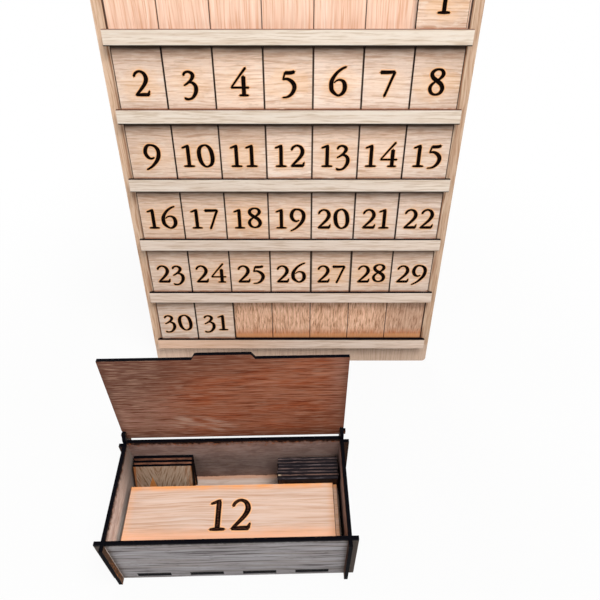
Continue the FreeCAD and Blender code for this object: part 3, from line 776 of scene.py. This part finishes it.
FIGURES = {
    "0": (730, [
        [(343, 989, 65), (159, 901, 115), (80, 710, 155), (84, 470, 165), (140, 231, 150),
         (251, 72, 100), (387, 16, 65), (570, 112, 115), (646, 311, 155), (642, 550, 165),
         (586, 789, 150), (474, 941, 100), (343, 989, 65)]]),
    "1": (540, [
        [(30, 866, 55), (140, 905, 80), (250, 955, 75), (310, 982, 45)],
        [(271, 925, 138), (271, 50, 138)],
        [(50, 36, 55), (270, 45, 95), (490, 36, 55)]]),
    "2": (640, [
        [(68, 785, 80), (132, 893, 85), (259, 965, 75), (367, 957, 85), (474, 889, 120),
         (538, 754, 148), (530, 622, 150), (450, 470, 125), (331, 327, 105), (195, 183, 88),
         (85, 75, 70)],
        [(60, 50, 85), (300, 58, 115), (560, 60, 120)],
        [(565, 75, 100), (615, 205, 45)]]),
    "3": (610, [
        [(50, 829, 80), (100, 909, 80), (219, 957, 75), (343, 925, 105), (419, 837, 135),
         (399, 730, 125), (311, 610, 90), (171, 502, 70), (45, 428, 50)],
        [(203, 550, 65), (359, 538, 90), (482, 438, 130), (514, 291, 150), (474, 120, 130),
         (339, -60, 90), (191, -120, 75), (70, -108, 90), (30, -70, 70)]]),
    "4": (770, [
        [(630, 1095, 80), (339, 738, 65), (50, 370, 55)],
        [(35, 340, 65), (735, 340, 68)],
        [(542, 750, 150), (538, 50, 145)],
        [(360, 32, 55), (540, 40, 85), (710, 32, 55)]]),
    "5": (590, [
        [(160, 910, 125), (371, 917, 120), (495, 950, 115)],
        [(130, 920, 60), (60, 660, 55)],
        [(60, 662, 55), (219, 678, 90), (391, 590, 135), (498, 451, 155), (506, 291, 150),
         (411, 104, 120), (239, -24, 75), (30, -56, 40)]]),
    "6": (710, [
        [(650, 1138, 60), (498, 1073, 80), (307, 933, 95), (163, 754, 120), (80, 574, 150),
         (68, 395, 160), (115, 210, 145), (331, 36, 75), (502, 84, 105), (606, 227, 145),
         (626, 395, 160), (586, 542, 135), (490, 622, 90), (387, 642, 65), (279, 610, 45),
         (187, 534, 30)]]),
    "7": (650, [
        [(40, 933, 130), (299, 933, 120), (558, 945, 105)],
        [(586, 933, 95), (459, 614, 85), (319, 235, 85), (225, 0, 90)]]),
    "8": (650, [
        [(331, 1049, 65), (175, 1000, 100), (88, 881, 135), (144, 734, 140), (319, 602, 145),
         (490, 474, 150), (570, 295, 150), (490, 124, 110), (311, 60, 70), (136, 132, 110),
         (64, 295, 130), (112, 443, 100), (251, 570, 70), (431, 694, 90), (546, 853, 140),
         (486, 1000, 100), (331, 1049, 65)]]),
    "9": (730, [
        [(425, 425, 55), (291, 383, 80), (152, 467, 130), (76, 654, 150), (120, 853, 135),
         (223, 973, 100), (351, 993, 75), (510, 945, 100), (622, 813, 145), (654, 642, 150),
         (610, 435, 150), (490, 235, 125), (311, 44, 90), (152, -64, 70), (50, -118, 55)]]),
}
FIGURE_SHIFT = 0.5 * MM  # of the tiles' figures, to the right of the middle
FIGURE_GAP = 130         # between two figures, in thousandths
STEPS = 5                # rows between two knots
CAP_TURNS = 24, 50, 78   # degrees round a stroke's end
CAP_REACH = 0.32         # of the stroke's width
END_WIDTH = 0.3          # of the stroke's, where its scorch ends
END_SCORCH = 0.4         # of the scorch's width, there
DOTS = 5                 # across a stroke: scorch, rim, middle, rim, scorch
PLATE_SCORCH = 1.3       # of the tiles' scorch
BURN_LIFT = 0.12 * MM    # burnt line over the face
SCORCH_LIFT = 0.02 * MM
STROKE_LIFT = 0.01 * MM  # each next stroke of a sign over the last, so that none share a face


def placed(name, data):
    """New object in the scene."""
    made = bpy.data.objects.new(name, data)
    bpy.context.scene.collection.objects.link(made)
    return made


def smooth_run(knots, closed):
    """Rows of (across, up, width) on a Catmull-Rom curve through a stroke's knots."""
    before, after = (knots[-2], knots[1]) if closed else (knots[0], knots[-1])
    knots = [before, *knots, after]
    rows = []
    for a, b, c, d in zip(knots, knots[1:], knots[2:], knots[3:]):
        for step in range(STEPS):
            t = step / STEPS
            rows.append(tuple(
                0.5 * (2 * q + (r - p) * t + (2 * p - 5 * q + 4 * r - s) * t * t
                       + (3 * q - p - 3 * r + s) * t ** 3)
                for p, q, r, s in zip(a, b, c, d)))
    return rows if closed else rows + [after]


def heading(rows, k, closed):
    """Unit direction of a stroke at row k."""
    before = rows[k - 1] if closed or k else rows[k]
    after = rows[(k + 1) % len(rows)] if closed or k + 1 < len(rows) else rows[k]
    return Vector((after[0] - before[0], after[1] - before[1])).normalized()


def rounded_end(spot, way, half, halo, out):
    """Sections from a stroke's end to its scorch's end; out is 1 after the stroke, -1 before."""
    sections = []
    for turn in CAP_TURNS:
        lean, reach = math.cos(math.radians(turn)), math.sin(math.radians(turn))
        beyond = way * out * reach * 2 * half * CAP_REACH
        sections.append((spot + beyond, way, half * lean, 1.0))
    beyond = way * out * (2 * half * CAP_REACH + halo)
    return sections + [(spot + beyond, way, half * END_WIDTH, 0.0)]


def cross_sections(knots, closed, halo):
    """(middle, direction, half width, 1 where it's burnt) along a stroke with rounded ends."""
    rows = smooth_run(knots, closed)
    sections = [(Vector(row[:2]), heading(rows, k, closed), row[2] / 2, 1.0)
                for k, row in enumerate(rows)]
    if closed:
        return sections
    before = rounded_end(*sections[0][:3], halo, -1)
    after = rounded_end(*sections[-1][:3], halo, 1)
    return before[::-1] + sections + after


def stroke_mesh(knots, halo):
    """A stroke's (place, burn) dots, row by row, and the faces between them."""
    closed = knots[0] == knots[-1]
    sections = cross_sections(knots, closed, halo)
    dots = []
    for spot, way, half, inked in sections:
        side = Vector((-way.y, way.x))
        wide = half + halo * (1.0 if inked else END_SCORCH)
        for reach, burn in ((-wide, 0), (-half, 1), (0, 2), (half, 1), (wide, 0)):
            dots.append((spot + side * reach, burn * inked))
    count = len(sections)
    faces = []
    for row in range(count if closed else count - 1):
        here, there = row * DOTS, (row + 1) % count * DOTS
        faces += [(here + k, here + k + 1, there + k + 1, there + k) for k in range(DOTS - 1)]
    return dots, faces


def figure_piece(name, number, height, halo, face, material):
    """Number burnt into a face, centred on the face's origin and standing on its base line."""
    scale = height / 1000
    signs = [FIGURES[sign] for sign in str(number)]
    left = -(sum(width for width, _ in signs) + FIGURE_GAP * (len(signs) - 1)) / 2
    verts, faces, burns = [], [], []
    for width, strokes in signs:
        for order, knots in enumerate(strokes):
            dots, stroke_faces = stroke_mesh(knots, halo / scale)
            faces += [[len(verts) + k for k in corners] for corners in stroke_faces]
            for place, burn in dots:
                lift = BURN_LIFT + order * STROKE_LIFT if burn else SCORCH_LIFT
                verts.append(point(face, (left + place.x) * scale, place.y * scale, lift))
                burns.append(burn)
        left += width + FIGURE_GAP
    mesh = bpy.data.meshes.new(name)
    mesh.from_pydata(verts, [], faces)
    mesh.attributes.new("burn", "FLOAT", "POINT").data.foreach_set("value", burns)
    mesh.materials.append(material)
    return placed(name, mesh)


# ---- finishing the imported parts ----

def dress(material, *nodes):
    """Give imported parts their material."""
    for node in nodes:
        part = frame["nodes"][node]
        if not part.material_slots:
            part.data.materials.append(material)
        for place in part.material_slots:
            place.material = material


class CALENDAR_OT_board(bpy.types.Operator):
    """Finish the board, its rails, its cleat and its strut"""
    bl_idname = "calendar.board"
    bl_label = "Board and rails"

    def execute(self, context):
        colours = context.scene.calendar_colours
        dress(board_wood(colours), "backboard")
        dress(rail_wood(colours), "rail_spacers", *["rail_lip_%d" % rail for rail in RAILS])
        dress(strut_wood(colours), "strut", "strut_cleat")
        return {"FINISHED"}


class CALENDAR_OT_tiles(bpy.types.Operator):
    """Finish the number tiles and burn their figures in"""
    bl_idname = "calendar.tiles"
    bl_label = "Number tiles"

    def execute(self, context):
        colours = context.scene.calendar_colours
        figures = context.scene.calendar_figures
        woods = {shift: (tile_wood(colours, "tile_wood" + name, shift),
                         tile_figure_wood(colours, "tile_figure" + name, shift))
                 for shift, name in ((0.0, ""), (DAY_1_SHIFT, "_of_day_1"))}
        plane = board_plane()
        for day in DAYS:
            tile = "tile_%02d" % day
            wood, burnt = woods[DAY_1_SHIFT if day == 1 else 0.0]
            dress(wood, tile)
            foot = middle(tile) + plane.out * SHEET_T * MM / 2
            foot += plane.up * (figures.tile_baseline - TILE_H * MM / 2) + plane.across * FIGURE_SHIFT
            face = plane._replace(origin=foot)
            piece = figure_piece("figure_%02d" % day, day, figures.tile_height,
                                 figures.halo, face, burnt)
            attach(piece, tile)
        return {"FINISHED"}


class CALENDAR_OT_plates(bpy.types.Operator):
    """Finish the month plates and burn a plain number into the two that show their face"""
    bl_idname = "calendar.plates"
    bl_label = "Month plates"

    def execute(self, context):
        colours = context.scene.calendar_colours
        figures = context.scene.calendar_figures
        top = lying("month_plate_top")
        plane = board_plane()
        shown = plane._replace(origin=middle("month_plate_shown") + plane.out * SHEET_T * MM / 2)
        plates = (("month_plate_top", top, 60.0, 12), ("month_plate_shown", shown, 64.0, 10))
        for node, face, seed, number in plates:
            dress(plate_wood(colours, node + "_wood", face, seed), node)
            burnt = plate_figure_wood(colours, node + "_figure", face, seed)
            base = face._replace(origin=point(face, 0, -figures.plate_height / 2))
            piece = figure_piece(node + "_number", number, figures.plate_height,
                                 figures.halo * PLATE_SCORCH, base, burnt)
            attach(piece, node)
        low = plate_wood(colours, "stored_plate_wood", lying("month_plate_second"), 71.0)
        dress(low, "month_plate_second", "month_plates_lower")
        return {"FINISHED"}


class CALENDAR_OT_box(bpy.types.Operator):
    """Finish the box's panels and its floor"""
    bl_idname = "calendar.box"
    bl_label = "Box"

    def execute(self, context):
        colours = context.scene.calendar_colours
        box = box_plane()
        right = box._replace(across=-box.out, out=box.across)
        left = box._replace(across=box.out, out=-box.across)
        back = box._replace(across=-box.across, out=-box.out)
        wall = colours.box_inside
        # lighter and darker copies of the inside veneer: painted light on the left wall, painted
        # shade on the back and right walls
        painted_lighter_inside = tinted(wall, 2.0, 2.75, 3.3)
        painted_darker_inside = tinted(wall, 0.7, 0.76, 0.86)
        panels = (("box_front", box, BOX_W / 2, wall, 0.0, 80.0),
                  ("box_back", back, BOX_W / 2, painted_darker_inside, 0.0, 84.0),
                  ("box_side_left", left, BOX_D / 2, painted_lighter_inside, 0.8, 88.0),
                  ("box_side_right", right, BOX_D / 2, painted_darker_inside, 0.0, 92.0))
        for node, plane, half, inner, deep, seed in panels:
            dress(panel_wood(colours, node + "_wood", plane, half, inner, deep, seed), node)
        dress(floor_wood(colours), "box_floor")
        return {"FINISHED"}


class CALENDAR_OT_lid(bpy.types.Operator):
    """Finish the lid"""
    bl_idname = "calendar.lid"
    bl_label = "Lid"

    def execute(self, context):
        dress(lid_wood(context.scene.calendar_colours), "box_lid")
        return {"FINISHED"}


class CALENDAR_OT_spares(bpy.types.Operator):
    """Finish the spare tiles that stand in the box"""
    bl_idname = "calendar.spares"
    bl_label = "Spare tiles"

    def execute(self, context):
        colours = context.scene.calendar_colours
        box = box_plane()
        # the right stack's near-black face is painted shade, as its front tile stands in shadow
        for node, front, ashy, seed in (("spare_tiles_left", colours.spare, False, 100.0),
                                        ("spare_tiles_right", srgb(24, 19, 19), True, 104.0)):
            plane = box._replace(origin=middle(node))
            dress(spare_wood(colours, node + "_wood", plane, front, ashy, seed), node)
        return {"FINISHED"}


class CALENDAR_OT_hinge(bpy.types.Operator):
    """Finish the strut's hinge, its pin and its screws"""
    bl_idname = "calendar.hinge"
    bl_label = "Strut hinge"

    def execute(self, context):
        brass = metal("hinge_brass", context.scene.calendar_colours.brass, 0.3)
        steel = metal("hinge_steel", srgb(176, 176, 180), 0.28)
        dress(brass, "hinge_leaf_fixed", "hinge_leaf_moving")
        dress(steel, "hinge_pin", "hinge_screws_fixed", "hinge_screws_moving")
        return {"FINISHED"}


# ---- stage, in metres ----

FLOOR_REACH = 6.0
FLOOR_DROP = -0.1 * MM   # keeps the floor's face clear of the feet that stand on it
LAMPS = (  # name, place, target, size, colour
    ("key", (0.42, -0.5, 1.85), (0, 0, 0.15), (1.0, 0.8), (1.0, 0.985, 0.96)),
    ("fill", (-0.7, -1.1, 1.2), (0, 0, 0.15), (0.8, 0.6), (0.96, 0.98, 1.0)),
    ("back", (-0.4, 1.5, 1.1), (0, 0.1, 0.2), (0.9, 0.6), (1.0, 0.99, 0.97)),
)


def seen_by_lens(skin):
    """1 where the floor or sky shows itself to the camera, a mirror or through glass."""
    rays = [skin.node("ShaderNodeLightPath", output=kind)
            for kind in ("Is Camera Ray", "Is Glossy Ray", "Is Transmission Ray")]
    return rays[0].most(rays[1]).most(rays[2])


def white_floor():
    """Pale matt floor that shows nearly white and keeps a soft shadow."""
    skin = Skin("stage_floor")
    place = skin.place()
    speck = skin.noise(skin.dot(place, (30, 0, 0)), skin.dot(place, (0, 30, 0)), 0.0)
    tone = skin.blend(speck * 0.05, srgb(196, 196, 196), srgb(186, 186, 188))
    matt = skin.node("ShaderNodeBsdfDiffuse", None, {"Color": tone})
    glow = skin.node("ShaderNodeEmission", None, {"Color": (1, 1, 1, 1), "Strength": 1.0})
    away = skin.node("ShaderNodeVectorMath", {"operation": "LENGTH"}, {0: place}, "Value")
    fade = 0.92 + away.rise(0.2, 0.6) * 0.08
    shown = seen_by_lens(skin) * fade
    both = skin.node("ShaderNodeMixShader", None, {0: shown, 1: matt, 2: glow})
    skin.node("ShaderNodeOutputMaterial", None, {"Surface": both})
    return skin.made


def add_floor():
    corners = [(x * FLOOR_REACH, y * FLOOR_REACH, 0)
               for x, y in ((-1, -1), (1, -1), (1, 1), (-1, 1))]
    mesh = bpy.data.meshes.new("floor")
    mesh.from_pydata(corners, [], [(0, 1, 2, 3)])
    mesh.materials.append(white_floor())
    floor = placed("floor", mesh)
    floor.location.z = FLOOR_DROP


def add_sky(strength):
    """Even room light that shows plain white itself."""
    skin = Skin("studio", kind="worlds")
    room = skin.node("ShaderNodeBackground", None,
                     {"Color": (1.0, 0.99, 0.975, 1), "Strength": strength})
    white = skin.node("ShaderNodeBackground", None, {"Color": (1, 1, 1, 1), "Strength": 1.0})
    both = skin.node("ShaderNodeMixShader", None, {0: seen_by_lens(skin), 1: room, 2: white})
    skin.node("ShaderNodeOutputWorld", None, {"Surface": both})
    bpy.context.scene.world = skin.made


def add_lamp(name, place, target, power, size, colour):
    lamp = bpy.data.lights.new(name, "AREA")
    lamp.shape = "RECTANGLE"
    lamp.size, lamp.size_y = size
    lamp.energy = power
    lamp.color = colour
    holder = placed(name, lamp)
    holder.location = place
    holder.rotation_euler = (Vector(target) - Vector(place)).to_track_quat("-Z", "Y").to_euler()


class CALENDAR_OT_stage(bpy.types.Operator):
    """Set the floor, the soft lamps, the room light and the camera"""
    bl_idname = "calendar.stage"
    bl_label = "Stage"

    def execute(self, context):
        stage = context.scene.calendar_stage
        add_floor()
        add_sky(stage.sky)
        for name, place, target, size, colour in LAMPS:
            power = getattr(stage, name + "_power")
            add_lamp(name + "_lamp", place, target, power, size, colour)
        lens = bpy.data.cameras.new("camera")
        lens.lens = stage.lens
        lens.clip_start = 1 * MM
        camera = placed("camera", lens)
        camera.location = stage.camera_place
        camera.rotation_euler = (stage.camera_tilt, 0, 0)
        context.scene.camera = camera
        context.scene.view_settings.view_transform = "Standard"
        return {"FINISHED"}


STEPS_IN_ORDER = (CALENDAR_OT_stage, CALENDAR_OT_board, CALENDAR_OT_tiles, CALENDAR_OT_plates,
                  CALENDAR_OT_box, CALENDAR_OT_lid, CALENDAR_OT_spares, CALENDAR_OT_hinge)
GROUPS = (("calendar_colours", CalendarColours), ("calendar_figures", CalendarFigures),
          ("calendar_stage", CalendarStage))


class CALENDAR_PT_sidebar(bpy.types.Panel):
    """Choices and steps of the calendar's looks"""
    bl_idname = "CALENDAR_PT_sidebar"
    bl_label = "Desk Calendar"
    bl_space_type = "VIEW_3D"
    bl_region_type = "UI"
    bl_category = "Calendar"

    def draw(self, context):
        for name, group in GROUPS:
            column = self.layout.column(align=True)
            for choice in group.__annotations__:
                column.prop(getattr(context.scene, name), choice)
        column = self.layout.column(align=True)
        for step in STEPS_IN_ORDER:
            column.operator(step.bl_idname)


def register():
    for name, group in GROUPS:
        bpy.utils.register_class(group)
        setattr(bpy.types.Scene, name, PointerProperty(type=group))
    for made in (*STEPS_IN_ORDER, CALENDAR_PT_sidebar):
        bpy.utils.register_class(made)


def unregister():
    for made in (CALENDAR_PT_sidebar, *reversed(STEPS_IN_ORDER)):
        bpy.utils.unregister_class(made)
    for name, group in reversed(GROUPS):
        delattr(bpy.types.Scene, name)
        bpy.utils.unregister_class(group)


def main():
    register()
    for step in STEPS_IN_ORDER:
        group, name = step.bl_idname.split(".")
        getattr(getattr(bpy.ops, group), name)()


if __name__ == "__main__":
    main()
